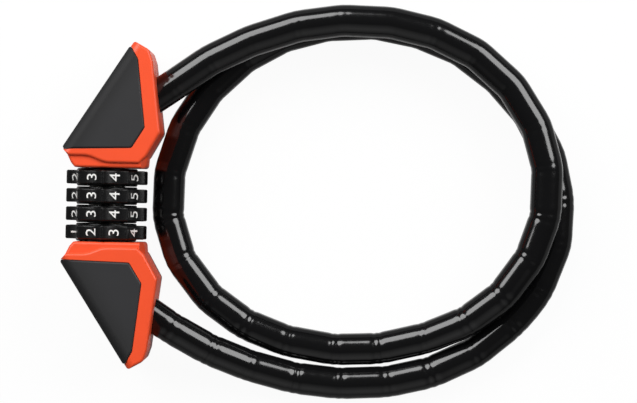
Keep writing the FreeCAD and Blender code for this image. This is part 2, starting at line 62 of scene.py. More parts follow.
# The lock's cable, as the corners where one armour shell meets the next, in metres
ROUTE_OUT = [
    (0.0282, 0.0570, 0.0200), (0.0443, 0.0688, 0.0214), (0.0640, 0.0784, 0.0229),
    (0.0849, 0.0856, 0.0234), (0.1067, 0.0889, 0.0234), (0.1286, 0.0884, 0.0234),
    (0.1496, 0.0839, 0.0234), (0.1700, 0.0742, 0.0234), (0.1862, 0.0601, 0.0234),
    (0.1987, 0.0409, 0.0234), (0.2042, 0.0209, 0.0234), (0.2039, -0.0011, 0.0228),
    (0.1970, -0.0213, 0.0212), (0.1851, -0.0386, 0.0186), (0.1684, -0.0519, 0.0148),
    (0.1486, -0.0604, 0.0092), (0.1273, -0.0658, 0.0075), (0.1054, -0.0667, 0.0075),
    (0.0837, -0.0632, 0.0075), (0.0633, -0.0557, 0.0075), (0.0455, -0.0430, 0.0075),
    (0.0319, -0.0259, 0.0075), (0.0252, -0.0051, 0.0075), (0.0258, 0.0168, 0.0075),
    (0.0323, 0.0376, 0.0075), (0.0440, 0.0560, 0.0075), (0.0596, 0.0709, 0.0075),
    (0.0784, 0.0817, 0.0075), (0.0996, 0.0875, 0.0075), (0.1215, 0.0889, 0.0075),
    (0.1431, 0.0848, 0.0075), (0.1635, 0.0768, 0.0075), (0.1810, 0.0636, 0.0075),
    (0.1958, 0.0473, 0.0075), (0.2065, 0.0282, 0.0075), (0.2112, 0.0068, 0.0075),
    (0.2104, -0.0151, 0.0075), (0.2029, -0.0356, 0.0075),
]
ROUTE_BACK = [
    (0.1893, -0.0529, 0.0075), (0.1721, -0.0671, 0.0075), (0.1522, -0.0766, 0.0075),
    (0.1308, -0.0816, 0.0075), (0.1088, -0.0827, 0.0075), (0.0870, -0.0806, 0.0075),
    (0.0657, -0.0749, 0.0096), (0.0464, -0.0673, 0.0152), (0.0290, -0.0574, 0.0200),
]

# Where the cable leaves a case, and how far it goes on inside: to the sleeve's end, then
# the rope's end in its ferrule
EXIT = Vector((0.0198, 0.0512, 0.0200))
EXIT_ANGLE = math.radians(34.0)
SLEEVE_INSIDE = 8.0 * MM
ROPE_INSIDE = 11.0 * MM

# The smooth line along the route: points from one corner to the next, and the shortest step
# that is left beside a cut
ROUTE_STEPS = 16
SHORTEST_STEP = 0.1 * MM

# The sleeve around a joint between two shells: distance from the joint, and how much of
# the groove's depth is pressed in there. A ring lies under the sleeve in the joint itself,
# and the ends of the shells stand out a little.
JOINT_PROFILE = [
    (0.0, 0.30), (0.45, 0.36), (0.85, 0.66), (1.25, 0.94), (1.6, 1.00), (2.0, 0.86),
    (2.5, 0.52), (3.0, 0.18), (3.6, -0.10), (4.3, -0.20), (5.2, -0.14), (6.4, -0.04), (8.0, 0.0),
]
BEND_REACH = 3.2 * MM
SLEEVE_SIDES = 48
SLEEVE_SMOOTHING = math.radians(40)

# Rigid shells on a bend: how far a joint lies outside the line, as a share of how far it lies
# from the middle between its neighbours
JOINT_OUTWARDS = 0.125

# How hard the sleeve is pressed in: least from this y on, in full so much lower, and uneven
# by this share, in a wave from joint to joint
FREE_FROM_Y = 0.05
PRESSED_WITHIN = 0.06
LEAST_PRESS = 0.25
UNEVEN_PRESS = 0.35
PRESS_WAVE = 2.4

# The rope: strands laid round a straight one
STRANDS = 6
STRAND_SIDES = 6
STRAND_STEP = 3.0 * MM
ROPE_SMOOTHING = math.radians(50)

# Dials: hollow facets, the turn of the first one from straight up, and the numerals at rest
FACETS = 10
FACET_TURN = math.radians(16.2)
SHOWN_ON_TOP = {"dial_1": 4, "dial_2": 4, "dial_3": 4, "dial_4": 3}
NUMERAL_WIDENING = 1.12
NUMERAL_CUTS = 12
TEXT_SIZE = 10 * MM
TEXT_FINENESS = 6

# Long slanting edge of the cases, along which the covers get painted shade: its direction in the
# upper case, and where it lies
LONG_EDGE_WAY = (0.5399, 0.8417)
LONG_EDGE_OFFSET = 32.7 * MM

# Photograph: the camera looks straight down
CAMERA_PLACE = (0.0969, 0.0036, 1.2)
CAMERA_TURN = math.radians(1.2)
CAMERA_LENS = 141.97
CAMERA_SENSOR = 36.0

# Soft lamps: azimuth and angle from straight up in degrees, size across and up in metres,
# watts and spread in degrees. They stand around the loop's middle.
LAMPS = {
    "soft_light_left": (129, 50, (2.00, 1.05), 26.0, 180.0),
    "soft_light_right": (37, 50, (1.30, 1.05), 17.0, 180.0),
    "soft_light_below": (270, 62, (3.20, 2.60), 1.15, 80.0),
}
LOOP_MIDDLE = Vector((0.1, 0.0, 0.0))
LAMP_DISTANCE = 1.6

# Light of the room beside the lamps. Then the floor: its size in metres, its tone as it lights
# the lock, how bright it is where the lock mirrors it from near and from far, how slanting a
# mirrored ray is where it has faded, and how much of its brightness shadows leave, to mirrored
# rays and to the camera
ROOM_LIGHT = 0.045
FLOOR_SIZE = 40
PAPER_TONE = 0.20
NEAR_PAPER = 0.9
FAR_PAPER = 0.10
FADED_SLANT = 0.5
MIRRORED_GLOW = 0.25
SEEN_GLOW = 0.95


def linear(code):
    """A colour written as six sRGB hex digits, as linear red, green, blue and alpha."""
    parts = [int(code[i:i + 2], 16) / 255 for i in (0, 2, 4)]
    return tuple(
        c / 12.92 if c <= 0.04045 else ((c + 0.055) / 1.055) ** 2.4 for c in parts) + (1.0,)


class CableLockSizes(bpy.types.PropertyGroup):
    cable_diameter: bpy.props.FloatProperty(
        name="Cable diameter", description="Outside of the plastic sleeve",
        default=15 * MM, unit="LENGTH")
    sleeve_wall: bpy.props.FloatProperty(
        name="Sleeve wall", description="Thickness of the plastic sleeve",
        default=1.2 * MM, unit="LENGTH")
    groove_depth: bpy.props.FloatProperty(
        name="Groove depth", description="How deep the sleeve is pressed in beside a joint's ring",
        default=0.17 * MM, unit="LENGTH")
    rope_diameter: bpy.props.FloatProperty(
        name="Rope diameter", description="Outside of the steel rope in the cable",
        default=6 * MM, unit="LENGTH")
    rope_lay: bpy.props.FloatProperty(
        name="Rope lay", description="Length in which a strand goes once round the rope",
        default=42 * MM, unit="LENGTH")
    dial_ridge_radius: bpy.props.FloatProperty(
        name="Dial ridge radius", description="From the dials' axis to a ridge between facets",
        default=19.3 * MM, unit="LENGTH")
    dial_waist_radius: bpy.props.FloatProperty(
        name="Dial waist radius", description="From the dials' axis to a facet's middle",
        default=17.1 * MM, unit="LENGTH")
    ridge_width: bpy.props.FloatProperty(
        name="Ridge width", description="Flat top of a ridge between facets",
        default=0.9 * MM, unit="LENGTH")
    numeral_height: bpy.props.FloatProperty(
        name="Numeral height", description="Height of a numeral, along the dial's rim",
        default=4.9 * MM, unit="LENGTH")
    numeral_width: bpy.props.FloatProperty(
        name="Numeral width", description="Width of the widest numeral, across the dial",
        default=3.9 * MM, unit="LENGTH")
    paint_thickness: bpy.props.FloatProperty(
        name="Paint thickness", description="How far a numeral's paint stands on its facet",
        default=0.04 * MM, unit="LENGTH")


class CableLockColours(bpy.types.PropertyGroup):
    case: bpy.props.FloatVectorProperty(
        name="Case", description="Moulded halves of both cases",
        default=linear("FB552A"), subtype="COLOR", size=4)
    cover: bpy.props.FloatVectorProperty(
        name="Cover", description="Soft-touch covers on the cases",
        default=linear("29292B"), subtype="COLOR", size=4)
    dial: bpy.props.FloatVectorProperty(
        name="Dial", description="Moulded dials",
        default=linear("0D0D0E"), subtype="COLOR", size=4)
    numeral: bpy.props.FloatVectorProperty(
        name="Numeral", description="Paint of the numerals",
        default=linear("FAFAF7"), subtype="COLOR", size=4)
    sleeve: bpy.props.FloatVectorProperty(
        name="Sleeve", description="Plastic sleeve of the cable",
        default=linear("0E0E0F"), subtype="COLOR", size=4)


def add_node(tree, kind, inputs=None, links=None, **settings):
    """Adds a node with its settings, the values of its inputs and the links into it."""
    node = tree.nodes.new(kind)
    for name, value in settings.items():
        setattr(node, name, value)
    for name, value in (inputs or {}).items():
        node.inputs[name].default_value = value
    for name, output in (links or {}).items():
        tree.links.new(output, node.inputs[name])
    return node


def new_material(name):
    """An empty material, and its node tree."""
    material = bpy.data.materials.new(name)
    material.use_nodes = True
    material.node_tree.nodes.clear()
    return material, material.node_tree


def shade(colour, factor):
    """A colour made lighter or darker."""
    return tuple(min(1.0, c * factor) for c in colour[:3]) + (1.0,)


# Plastics

def moulded_abs(name, colour, roughness, grain, edge):
    """ABS from a spark-eroded mould: an even colour, a fine dry grain that spreads the gloss,
    and edges that the mould leaves slightly round, so that they catch the light. The real
    grain is about a tenth of a millimetre, and is drawn coarser to show."""
    material, tree = new_material(name)
    place = add_node(tree, "ShaderNodeTexCoord").outputs["Object"]
    cloud = add_node(
        tree, "ShaderNodeTexNoise", {"Scale": 1 / (9 * MM), "Detail": 3.0}, {"Vector": place})
    tone = add_node(
        tree, "ShaderNodeMix", {6: shade(colour, 0.95), 7: shade(colour, 1.04)},
        {0: cloud.outputs["Fac"]}, data_type="RGBA")
    eroded = add_node(
        tree, "ShaderNodeTexNoise", {"Scale": 1 / grain, "Detail": 4.0}, {"Vector": place})
    gloss = add_node(
        tree, "ShaderNodeMapRange", {"To Min": roughness - 0.05, "To Max": roughness + 0.06},
        {"Value": eroded.outputs["Fac"]})
    soft_edge = add_node(tree, "ShaderNodeBevel", {"Radius": edge}, samples=6)
    bump = add_node(
        tree, "ShaderNodeBump", {"Strength": 0.35, "Distance": 0.02 * MM},
        {"Height": eroded.outputs["Fac"], "Normal": soft_edge.outputs[0]})
    shader = add_node(
        tree, "ShaderNodeBsdfPrincipled", {"IOR": 1.53},
        {"Base Color": tone.outputs[2], "Roughness": gloss.outputs[0], "Normal": bump.outputs[0]})
    add_node(tree, "ShaderNodeOutputMaterial", links={"Surface": shader.outputs[0]})
    return material


def from_long_edge(tree, place):
    """How far a place on either case lies inside its long slanting edge, in metres."""
    apart = add_node(tree, "ShaderNodeSeparateXYZ", links={"Vector": place})
    height = add_node(tree, "ShaderNodeMath", links={0: apart.outputs["Y"]}, operation="ABSOLUTE")
    across = add_node(
        tree, "ShaderNodeMath", {1: -LONG_EDGE_WAY[0]}, {0: height.outputs[0]},
        operation="MULTIPLY")
    inside = add_node(
        tree, "ShaderNodeMath", {1: LONG_EDGE_WAY[1]},
        {0: apart.outputs["X"], 2: across.outputs[0]}, operation="MULTIPLY_ADD")
    depth = add_node(
        tree, "ShaderNodeMath", {1: LONG_EDGE_OFFSET}, {0: inside.outputs[0]}, operation="ADD")
    return depth.outputs[0]


def soft_touch_rubber(name, colour):
    """Thermoplastic rubber moulded over the case: dull, with a fine even tooth and a faint sheen.
    Towards the long slanting edge its colour is darkened as painted shade, and it is rougher
    there."""
    material, tree = new_material(name)
    place = add_node(tree, "ShaderNodeTexCoord").outputs["Object"]
    cloud = add_node(
        tree, "ShaderNodeTexNoise", {"Scale": 1 / (14 * MM), "Detail": 4.0}, {"Vector": place})
    # Mask for the painted shade: 0 at the long edge, 1 from 15 mm inside; it also sets the
    # roughness
    painted_shade_and_gloss_mask = add_node(
        tree, "ShaderNodeMapRange",
        {"From Min": 1.0 * MM, "From Max": 15.0 * MM, "To Min": 0.0, "To Max": 1.0},
        {"Value": from_long_edge(tree, place)}, interpolation_type="SMOOTHSTEP")
    # Painted shade: the cover's colour darkened to 35 % at the long edge, fading out inside
    painted_edge_shade = add_node(
        tree, "ShaderNodeMix", {6: shade(colour, 0.35), 7: tuple(colour)},
        {0: painted_shade_and_gloss_mask.outputs[0]}, data_type="RGBA")
    uneven = add_node(
        tree, "ShaderNodeMapRange", {"To Min": 0.90, "To Max": 1.10},
        {"Value": cloud.outputs["Fac"]})
    tone = add_node(
        tree, "ShaderNodeVectorMath", links={0: painted_edge_shade.outputs[2], 1: uneven.outputs[0]},
        operation="MULTIPLY")
    tooth = add_node(
        tree, "ShaderNodeTexNoise", {"Scale": 1 / (0.5 * MM), "Detail": 3.0}, {"Vector": place})
    gloss = add_node(
        tree, "ShaderNodeMapRange", {"To Min": 0.72, "To Max": 0.52}, {"Value": painted_shade_and_gloss_mask.outputs[0]})
    bump = add_node(
        tree, "ShaderNodeBump", {"Strength": 0.5, "Distance": 0.03 * MM},
        {"Height": tooth.outputs["Fac"]})
    shader = add_node(
        tree, "ShaderNodeBsdfPrincipled",
        {"IOR": 1.50, "Sheen Weight": 0.03, "Sheen Roughness": 0.4},
        {"Base Color": tone.outputs[0], "Roughness": gloss.outputs[0], "Normal": bump.outputs[0]})
    add_node(tree, "ShaderNodeOutputMaterial", links={"Surface": shader.outputs[0]})
    return material


def extruded_pvc(name, colour):
    """Plasticised PVC shrunk on to the shells: deep black, wet gloss, and a faint unevenness
    that makes the highlights waver."""
    material, tree = new_material(name)
    place = add_node(tree, "ShaderNodeUVMap", uv_map="along").outputs["UV"]
    waver = add_node(
        tree, "ShaderNodeTexNoise", {"Scale": 1 / (9 * MM), "Detail": 2.0}, {"Vector": place})
    scuff = add_node(
        tree, "ShaderNodeTexNoise", {"Scale": 1 / (2.5 * MM), "Detail": 5.0}, {"Vector": place})
    gloss = add_node(
        tree, "ShaderNodeMapRange", {"To Min": 0.10, "To Max": 0.20},
        {"Value": scuff.outputs["Fac"]})
    bump = add_node(
        tree, "ShaderNodeBump", {"Strength": 0.6, "Distance": 0.06 * MM},
        {"Height": waver.outputs["Fac"]})
    shader = add_node(
        tree, "ShaderNodeBsdfPrincipled",
        {"Base Color": tuple(colour), "IOR": 1.54, "Coat Weight": 0.4, "Coat Roughness": 0.08,
         "Coat IOR": 1.5},
        {"Roughness": gloss.outputs[0], "Normal": bump.outputs[0]})
    add_node(tree, "ShaderNodeOutputMaterial", links={"Surface": shader.outputs[0]})
    return material


def pad_printed_paint(name, colour):
    """Opaque white two-part ink, slightly chalky and a little uneven in tone."""
    material, tree = new_material(name)
    place = add_node(tree, "ShaderNodeTexCoord").outputs["Object"]
    cloud = add_node(
        tree, "ShaderNodeTexNoise", {"Scale": 1 / (0.8 * MM), "Detail": 3.0}, {"Vector": place})
    tone = add_node(
        tree, "ShaderNodeMix", {6: shade(colour, 0.90), 7: tuple(colour)},
        {0: cloud.outputs["Fac"]}, data_type="RGBA")
    shader = add_node(
        tree, "ShaderNodeBsdfPrincipled", {"Roughness": 0.5, "IOR": 1.5},
        {"Base Color": tone.outputs[2]})
    add_node(tree, "ShaderNodeOutputMaterial", links={"Surface": shader.outputs[0]})
    return material


# Metals

def turned_metal(name, colour, roughness, axis_place):
    """Metal turned on a lathe: bright, with tool rings about the dials' axis. The real feed is
    near a tenth of a millimetre, and the rings are drawn two millimetres wide to show."""
    material, tree = new_material(name)
    place = add_node(tree, "ShaderNodeTexCoord").outputs["Object"]
    centred = add_node(
        tree, "ShaderNodeMapping", {"Location": (-axis_place.x, 0.0, -axis_place.z)},
        {"Vector": place})
    rings = add_node(
        tree, "ShaderNodeTexWave", {"Scale": 1 / (6.6 * MM), "Distortion": 0.3, "Detail": 2.0},
        {"Vector": centred.outputs[0]}, wave_type="RINGS", rings_direction="Y")
    cloud = add_node(
        tree, "ShaderNodeTexNoise", {"Scale": 1 / (5 * MM), "Detail": 4.0}, {"Vector": place})
    tone = add_node(
        tree, "ShaderNodeMix", {6: shade(colour, 0.88), 7: tuple(colour)},
        {0: cloud.outputs["Fac"]}, data_type="RGBA")
    gloss = add_node(
        tree, "ShaderNodeMapRange", {"To Min": roughness, "To Max": roughness + 0.12},
        {"Value": rings.outputs["Fac"]})
    bump = add_node(
        tree, "ShaderNodeBump", {"Strength": 0.3, "Distance": 0.01 * MM},
        {"Height": rings.outputs["Fac"]})
    shader = add_node(
        tree, "ShaderNodeBsdfPrincipled", {"Metallic": 1.0},
        {"Base Color": tone.outputs[2], "Roughness": gloss.outputs[0], "Normal": bump.outputs[0]})
    add_node(tree, "ShaderNodeOutputMaterial", links={"Surface": shader.outputs[0]})
    return material


def plain_metal(name, colour, roughness, patch, relief):
    """Metal with a cloudy finish: cast, plated, blued or galvanised, by its colour, the size
    of its patches and the depth of its skin."""
    material, tree = new_material(name)
    place = add_node(tree, "ShaderNodeTexCoord").outputs["Object"]
    cloud = add_node(
        tree, "ShaderNodeTexNoise", {"Scale": 1 / patch, "Detail": 5.0}, {"Vector": place})
    tone = add_node(
        tree, "ShaderNodeMix", {6: shade(colour, 0.78), 7: shade(colour, 1.08)},
        {0: cloud.outputs["Fac"]}, data_type="RGBA")
    gloss = add_node(
        tree, "ShaderNodeMapRange", {"To Min": roughness - 0.08, "To Max": roughness + 0.10},
        {"Value": cloud.outputs["Fac"]})
    bump = add_node(
        tree, "ShaderNodeBump", {"Strength": 0.5, "Distance": relief},
        {"Height": cloud.outputs["Fac"]})
    shader = add_node(
        tree, "ShaderNodeBsdfPrincipled", {"Metallic": 1.0},
        {"Base Color": tone.outputs[2], "Roughness": gloss.outputs[0], "Normal": bump.outputs[0]})
    add_node(tree, "ShaderNodeOutputMaterial", links={"Surface": shader.outputs[0]})
    return material


# Pieces

def deselect_all():
    for other in bpy.context.selected_objects:
        other.select_set(False)


def show(mesh, name, material):
    """A finished mesh as an object at the origin, with its material."""
    mesh.materials.clear()
    mesh.materials.append(material)
    piece = bpy.data.objects.new(name, mesh)
    bpy.context.scene.collection.objects.link(piece)
    return piece


def paint_nodes(names, material):
    for name in names:
        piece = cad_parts[name]
        piece.data.materials.clear()
        piece.data.materials.append(material)


def dial_axis():
    low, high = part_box("dial_1")
    return (low + high) / 2


def smooth(piece, angle):
    deselect_all()
    piece.select_set(True)
    bpy.context.view_layer.objects.active = piece
    bpy.ops.object.shade_smooth_by_angle(angle=angle)
    piece.select_set(False)


# Cable

def case_points(side):
    """The rope's end and the sleeve's end in a case: side is 1 for the upper, -1 for the lower."""
    way = Vector((math.cos(EXIT_ANGLE), math.sin(EXIT_ANGLE), 0.0))
    mouth = EXIT - way * SLEEVE_INSIDE
    deep = mouth - way * ROPE_INSIDE
    return [Vector((p.x, p.y * side, p.z)) for p in (deep, mouth)]


def parting():
    """Where the cable's main stretch meets its tail, in the middle of a shell."""
    return (Vector(ROUTE_OUT[-1]) + Vector(ROUTE_BACK[0])) / 2


def spline_line(points):
    """Points along the smooth line that has these as its control points."""
    curve = bpy.data.curves.new("route", "CURVE")
    curve.dimensions = "3D"
    spline = curve.splines.new("NURBS")
    spline.points.add(len(points) - 1)
    for control, point in zip(spline.points, points):
        control.co = (*point, 1.0)
    spline.order_u = 3
    spline.use_endpoint_u = True
    spline.resolution_u = ROUTE_STEPS
    route = bpy.data.objects.new("route", curve)
    bpy.context.scene.collection.objects.link(route)
    bpy.context.view_layer.update()
    mesh = bpy.data.meshes.new_from_object(route)
    line = [v.co.copy() for v in mesh.vertices]
    bpy.data.meshes.remove(mesh)
    bpy.data.objects.remove(route)
    bpy.data.curves.remove(curve)
    return line


def distances(line):
    """How far along the line each of its points is."""
    far = [0.0]
    for a, b in zip(line, line[1:]):
        far.append(far[-1] + (b - a).length)
    return far


def point_at(line, far, distance):
    """The point at a distance along the line, whose points are as far along as far says."""
    for k in range(1, len(line)):
        if far[k] >= distance:
            share = (distance - far[k - 1]) / (far[k] - far[k - 1])
            return line[k - 1].lerp(line[k], share)
    return line[-1].copy()


def from_distance(line, distance):
    """The line without its first stretch."""
    far = distances(line)
    rest = [p for p, d in zip(line, far) if d > distance + SHORTEST_STEP]
    return [point_at(line, far, distance)] + rest


def shell_joints(line, corners):
    """Ends of the straight shells: points of the line next to the route's corners. Rigid
    shells on a bend have their joints a little outside the line and their middles inside."""
    places = [min(line, key=lambda p: (p - Vector(c)).length) for c in corners]
    spots = [line[0]] + places + [line[-1]]
    joints = [
        b + (b - (a + c) / 2) * JOINT_OUTWARDS for a, b, c in zip(spots, spots[1:], spots[2:])]
    return [line[0]] + joints + [line[-1]]


def pressed(place, number):
    """How hard the sleeve is pressed in at a joint: least along the upper side of the loop,
    where it lies freely, and everywhere a little uneven."""
    share = min(1.0, max(0.0, (FREE_FROM_Y - place.y) / PRESSED_WITHIN))
    evenly = LEAST_PRESS + (1.0 - LEAST_PRESS) * share
    return evenly * (1.0 + UNEVEN_PRESS * math.sin(PRESS_WAVE * number))


def around_joint(before, here, after, distance):
    """The middle of the sleeve and its direction at a signed distance from a joint."""
    come = (here - before).normalized()
    go = (after - here).normalized()
    if distance <= -BEND_REACH:
        return here + come * distance, come
    if distance >= BEND_REACH:
        return here + go * distance, go
    share = (distance + BEND_REACH) / (2 * BEND_REACH)
    first = here - come * BEND_REACH
    last = here + go * BEND_REACH
    place = first * (1 - share) ** 2 + here * 2 * share * (1 - share) + last * share ** 2
    return place, come.lerp(go, share).normalized()


def sleeve_stations(spots, end_way, radius, groove):
    """Centre, direction and radius of each ring of the sleeve's outside. The last one faces
    end_way, so that both stretches meet at the parting without a wedge between them."""
    stations = [(spots[0], (spots[1] - spots[0]).normalized(), radius)]
    mirrored = [(-d, g) for d, g in reversed(JOINT_PROFILE[1:])] + JOINT_PROFILE
    for number, (before, here, after) in enumerate(zip(spots, spots[1:], spots[2:])):
        depth = groove * pressed(here, number)
        for distance, share in mirrored:
            place, way = around_joint(before, here, after, distance * MM)
            stations.append((place, way, radius - share * depth))
    stations.append((spots[-1], end_way, radius))
    return stations


def ring(place, way, radius, sides):
    """Points of a circle across the way, starting at its side and going over its top."""
    side = way.cross(Vector((0, 0, 1))).normalized()
    up = side.cross(way)
    turns = [2 * math.pi * k / sides for k in range(sides)]
    return [place + (side * math.cos(t) + up * math.sin(t)) * radius for t in turns]


def wall(first, rings, sides, outwards=True):
    """Quads between rings of points that start at index first."""
    faces = []
    for r in range(rings - 1):
        a, b = first + r * sides, first + (r + 1) * sides
        for k in range(sides):
            n = (k + 1) % sides
            quad = (a + k, b + k, b + n, a + n)
            faces.append(quad if outwards else quad[::-1])
    return faces


def bridge(outer, inner, sides, at_start):
    """The ring face that closes a tube's wall at one end."""
    faces = []
    for k in range(sides):
        n = (k + 1) % sides
        quad = (outer + k, outer + n, inner + n, inner + k)
        faces.append(quad if at_start else quad[::-1])
    return faces


def sleeve_mesh(name, line, corners, sizes):
    """The sleeve as a closed tube: outside with a groove and a ring at each joint, plain bore."""
    radius = sizes.cable_diameter / 2
    spots = shell_joints(line, corners)
    end_way = (spots[-1] - Vector(corners[-1])).normalized()
    stations = sleeve_stations(spots, end_way, radius, sizes.groove_depth)
    points = []
    for place, way, size in stations:
        points += ring(place, way, size, SLEEVE_SIDES)
    bore_first = len(points)
    ways = [(b - a).normalized() for a, b in zip(spots, spots[1:])]
    ways = [ways[0]] + [(a + b).normalized() for a, b in zip(ways, ways[1:])] + [end_way]
    for place, way in zip(spots, ways):
        points += ring(place, way, radius - sizes.sleeve_wall, SLEEVE_SIDES)
    outer_last = bore_first - SLEEVE_SIDES
    inner_last = len(points) - SLEEVE_SIDES
    faces = wall(0, len(stations), SLEEVE_SIDES)
    skin_faces = len(faces)
    faces += wall(bore_first, len(spots), SLEEVE_SIDES, outwards=False)
    faces += bridge(0, bore_first, SLEEVE_SIDES, at_start=True)
    faces += bridge(outer_last, inner_last, SLEEVE_SIDES, at_start=False)
    mesh = bpy.data.meshes.new(name)
    mesh.from_pydata(points, [], faces)
    unroll(mesh, stations, skin_faces, radius)
    mesh.update()
    return mesh


def unroll(mesh, stations, skin_faces, radius):
    """The sleeve's own map, in metres: round it in one direction and along it in the other."""
    along = distances([s[0] for s in stations])
    step = 2 * math.pi * radius / SLEEVE_SIDES
    layer = mesh.uv_layers.new(name="along")
    for number in range(skin_faces):
        face = mesh.polygons[number]
        r, k = divmod(number, SLEEVE_SIDES)
        corners = ((k, r), (k, r + 1), (k + 1, r + 1), (k + 1, r))
        for loop, (across, station) in zip(face.loop_indices, corners):
            layer.data[loop].uv = (across * step, along[station])


def rope_mesh(name, line, sizes):
    """A wire rope: strands laid round a straight one."""
    far = distances(line)
    strand_radius = sizes.rope_diameter / 6
    count = int(far[-1] / STRAND_STEP)
    places = [point_at(line, far, far[-1] * k / count) for k in range(count + 1)]
    ways = [(b - a).normalized() for a, b in zip(places, places[1:])]
    ways.append(ways[-1])
    points, faces = [], []
    for strand in range(STRANDS + 1):
        first = len(points)
        for k, (place, way) in enumerate(zip(places, ways)):
            centre = place
            if strand:
                turn = 2 * math.pi * (strand / STRANDS + far[-1] * k / count / sizes.rope_lay)
                side = way.cross(Vector((0, 0, 1))).normalized()
                out = side * math.cos(turn) + side.cross(way) * math.sin(turn)
                centre = place + out * 2 * strand_radius
            points += ring(centre, way, strand_radius, STRAND_SIDES)
        faces += wall(first, count + 1, STRAND_SIDES)
        last = first + count * STRAND_SIDES
        faces.append(tuple(first + k for k in range(STRAND_SIDES)))
        faces.append(tuple(last + k for k in reversed(range(STRAND_SIDES))))
    mesh = bpy.data.meshes.new(name)
    mesh.from_pydata(points, [], faces)
    mesh.update()
    return mesh


def copy_of_node(name, piece_name, material):
    """A node's mesh as a piece of its own, with its loose triangles joined."""
    piece = show(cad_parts[name].data.copy(), piece_name, material)
    deselect_all()
    piece.select_set(True)
    bpy.context.view_layer.objects.active = piece
    bpy.ops.object.mode_set(mode="EDIT")
    bpy.ops.mesh.select_all(action="SELECT")
    bpy.ops.mesh.remove_doubles(threshold=0.001 * MM)
    bpy.ops.object.mode_set(mode="OBJECT")
    piece.select_set(False)
    return piece


def bend_with_tail(piece):
    """Bakes the piece's placement into its mesh; the tail is not made to follow either case."""
    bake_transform(piece)


def stretch_line(side):
    """The line of one stretch, from the rope's end in a case to the parting."""
    deep, mouth = case_points(side)
    corners = ROUTE_OUT if side > 0 else ROUTE_BACK[::-1]
    return spline_line([deep, mouth, *corners, parting()]), corners


class CABLELOCK_OT_cable(bpy.types.Operator):
    """Makes the cable: its glossy sleeve over the shells, and the steel rope inside"""
    bl_idname = "cable_lock.cable"
    bl_label = "Cable"

    def execute(self, context):
        sizes = context.scene.cable_lock_sizes
        pvc = extruded_pvc("black_extruded_pvc", context.scene.cable_lock_colours.sleeve)
        wire = plain_metal(
            "galvanised_steel_wire", linear("B4B6B8"), roughness=0.38, patch=2 * MM,
            relief=0.01 * MM)
        armour = plain_metal(
            "hardened_steel", linear("7C7F84"), roughness=0.34, patch=4 * MM, relief=0.01 * MM)
        for side, name in ((1, "main_cable"), (-1, "tail_cable")):
            line, corners = stretch_line(side)
            node_end = "" if side > 0 else "_tail"
            rope = show(rope_mesh(name + "_rope", line, sizes), name + "_rope", wire)
            smooth(rope, ROPE_SMOOTHING)
            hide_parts("steel_rope" + node_end)
            sleeve_line = from_distance(line, ROPE_INSIDE)
            skin = sleeve_mesh(name + "_sleeve", sleeve_line, corners, sizes)
            sleeve = show(skin, name + "_sleeve", pvc)
            smooth(sleeve, SLEEVE_SMOOTHING)
            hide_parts("cable_sleeve" + node_end)
            inside = [rope]
            if side > 0:
                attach(rope, "lock_head")
                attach(sleeve, "lock_head")
                paint_nodes(["armour_shells", "armour_rings"], armour)
                inside += [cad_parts["armour_shells"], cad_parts["armour_rings"]]
            else:
                for part in ("shells", "rings"):
                    piece = copy_of_node(f"armour_{part}_tail", f"tail_cable_{part}", armour)
                    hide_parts(f"armour_{part}_tail")
                    bend_with_tail(piece)
                    inside.append(piece)
                bend_with_tail(rope)
                bend_with_tail(sleeve)
        return {"FINISHED"}


# Dials

def numeral(text, sizes):
    """One numeral, lying flat at the origin and centred there, cut across so that it can bend."""
    deselect_all()
    bpy.ops.object.text_add(location=(0, 0, 0))
    piece = bpy.context.object
    piece.data.body = text
    piece.data.align_x = "CENTER"
    piece.data.size = TEXT_SIZE
    piece.data.extrude = sizes.paint_thickness
    piece.data.resolution_u = TEXT_FINENESS
    bpy.ops.object.convert(target="MESH")
    piece = bpy.context.object
    xs = [v.co.x for v in piece.data.vertices]
    ys = [v.co.y for v in piece.data.vertices]
    scale = sizes.numeral_height / (max(ys) - min(ys))
    wide = min(scale * NUMERAL_WIDENING, sizes.numeral_width / (max(xs) - min(xs)))
    middle = Vector(((min(xs) + max(xs)) / 2, (min(ys) + max(ys)) / 2, 0))
    size = Matrix.Diagonal((wide, scale, 1.0, 1.0))
    piece.data.transform(size @ Matrix.Translation(-middle))
    bpy.ops.object.mode_set(mode="EDIT")
    for k in range(1, NUMERAL_CUTS):
        cut = (k / NUMERAL_CUTS - 0.5) * sizes.numeral_height
        bpy.ops.mesh.select_all(action="SELECT")
        bpy.ops.mesh.bisect(plane_co=(0, cut, 0), plane_no=(0, 1, 0))
    bpy.ops.object.mode_set(mode="OBJECT")
    return piece


def hollow_radius(sizes):
    """Radius of a facet's hollow, from the ridges on both sides of it and its middle."""
    half_step = math.pi / FACETS - math.asin(sizes.ridge_width / 2 / sizes.dial_ridge_radius)
    half_chord = sizes.dial_ridge_radius * math.sin(half_step)
    depth = sizes.dial_ridge_radius * math.cos(half_step) - sizes.dial_waist_radius
    return (half_chord ** 2 + depth ** 2) / (2 * depth)


def lay_on_facet(mesh, dial, turn, sizes):
    """Bends a flat numeral into a facet's hollow: its top points backwards round the dial,
    and its right towards the upper case."""
    low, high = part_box(dial)
    centre = (low + high) / 2
    radius = hollow_radius(sizes)
    out = Vector((math.sin(turn), 0, math.cos(turn)))
    top = Vector((-math.cos(turn), 0, math.sin(turn)))
    hollow_centre = centre + out * (sizes.dial_waist_radius + radius)
    for vertex in mesh.vertices:
        right, up, raised = vertex.co
        bend = up / radius
        arm = out * -math.cos(bend) + top * math.sin(bend)
        vertex.co = hollow_centre + arm * (radius - raised) + Vector((0, right, 0))


